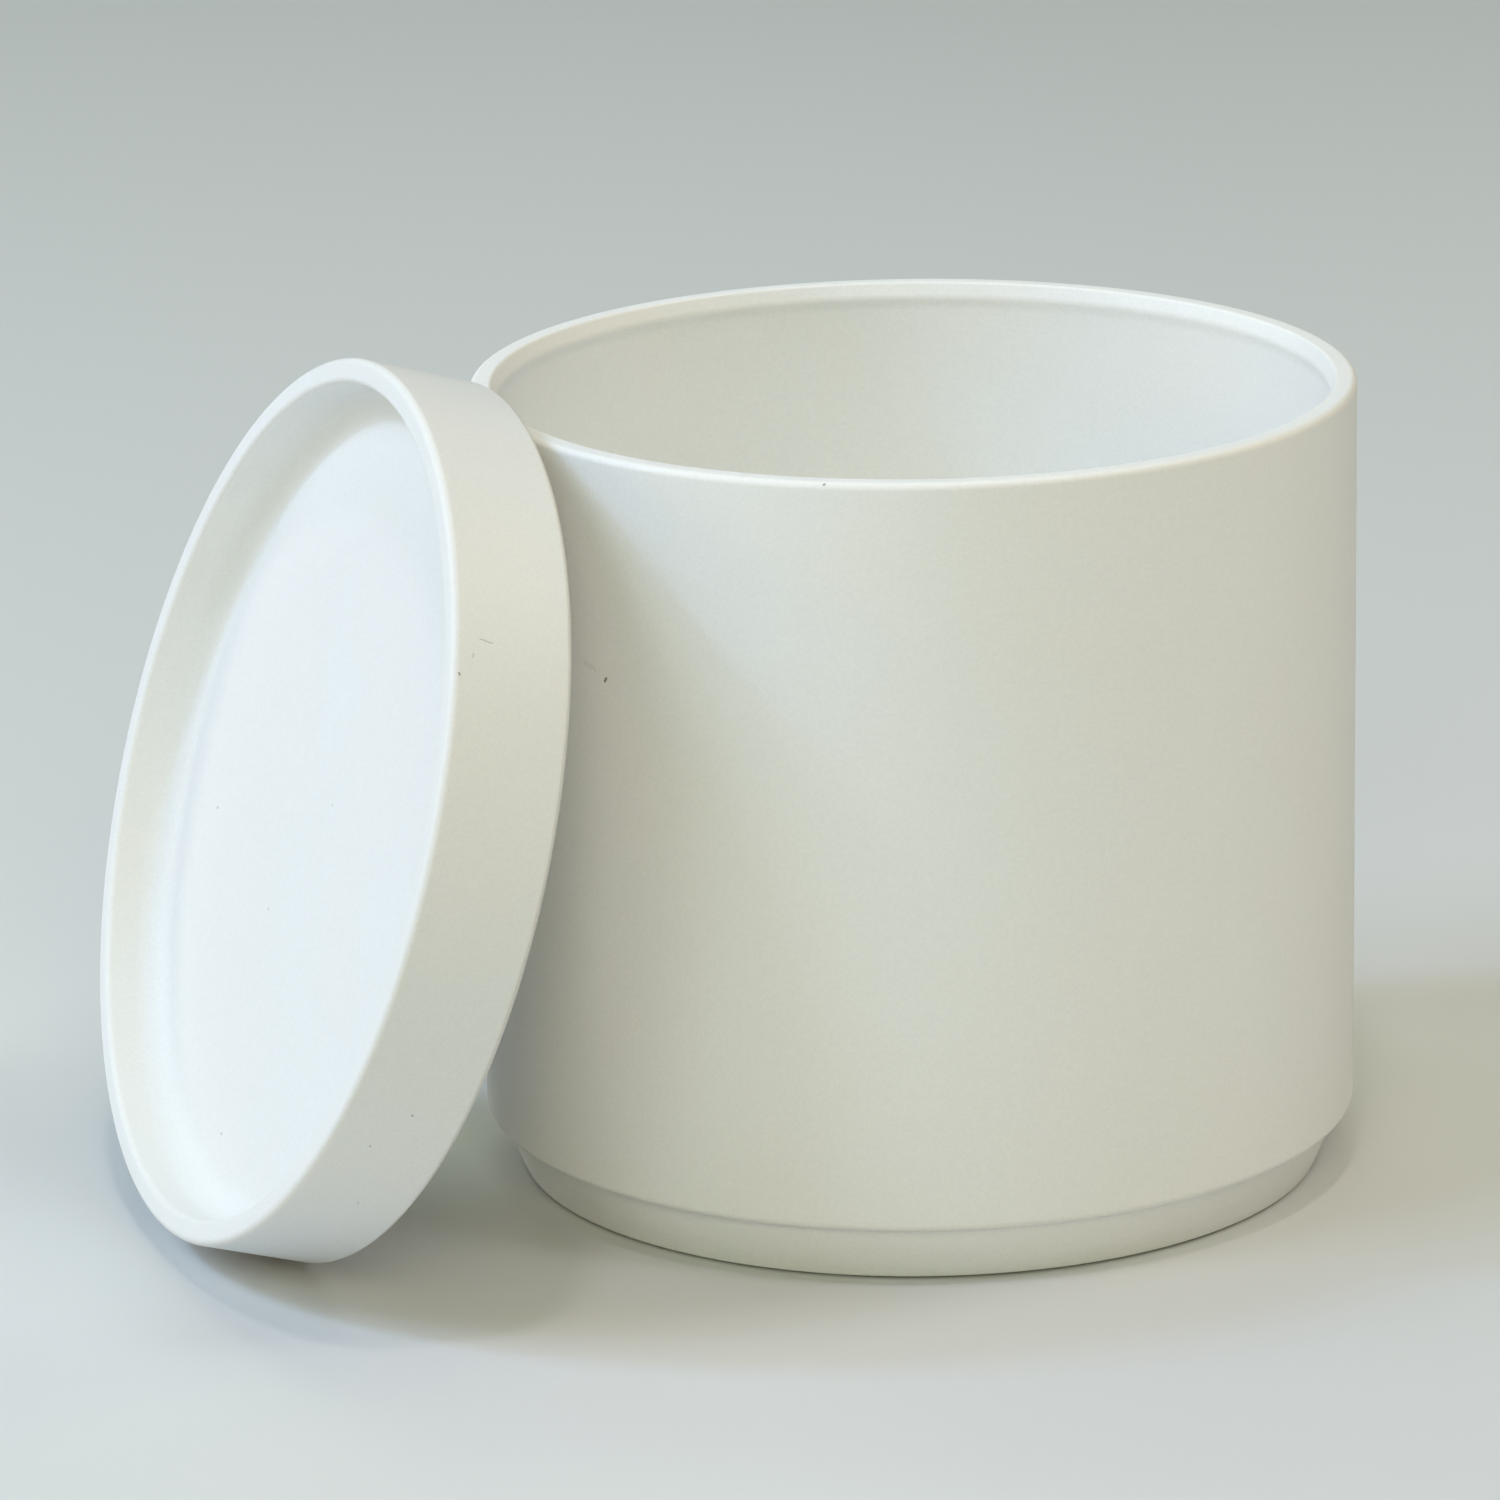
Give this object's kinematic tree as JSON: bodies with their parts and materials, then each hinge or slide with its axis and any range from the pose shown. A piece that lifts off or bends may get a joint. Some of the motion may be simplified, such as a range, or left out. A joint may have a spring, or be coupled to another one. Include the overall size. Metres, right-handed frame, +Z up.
{
  "type": "porcelain crucible",
  "caption": "Straight-sided white porcelain crucible on a tapered foot, with a dished drum lid that lies off the vessel and leans on its side.",
  "frame": {"origin": "centre of the vessel's foot, in the plane of the surface that the vessel stands on", "axes": "+Z is up, along the vessel's axis; the lid leans on the vessel's -X side and its dish faces -X and a little up"},
  "size_m": [0.1425, 0.1016, 0.099],
  "materials": {
    "vessel_glaze": "satin",
    "lid_glaze": "satin"
  },
  "bodies": {
    "vessel": {"vessel": "vessel_glaze"},
    "lid": {"lid": "lid_glaze"}
  },
  "joints": [
    {"name": "lid_lift", "type": "slide", "parent": "vessel", "child": "lid", "axis": [0, 0, 1], "range_m": [0, 0.1]}
  ]
}
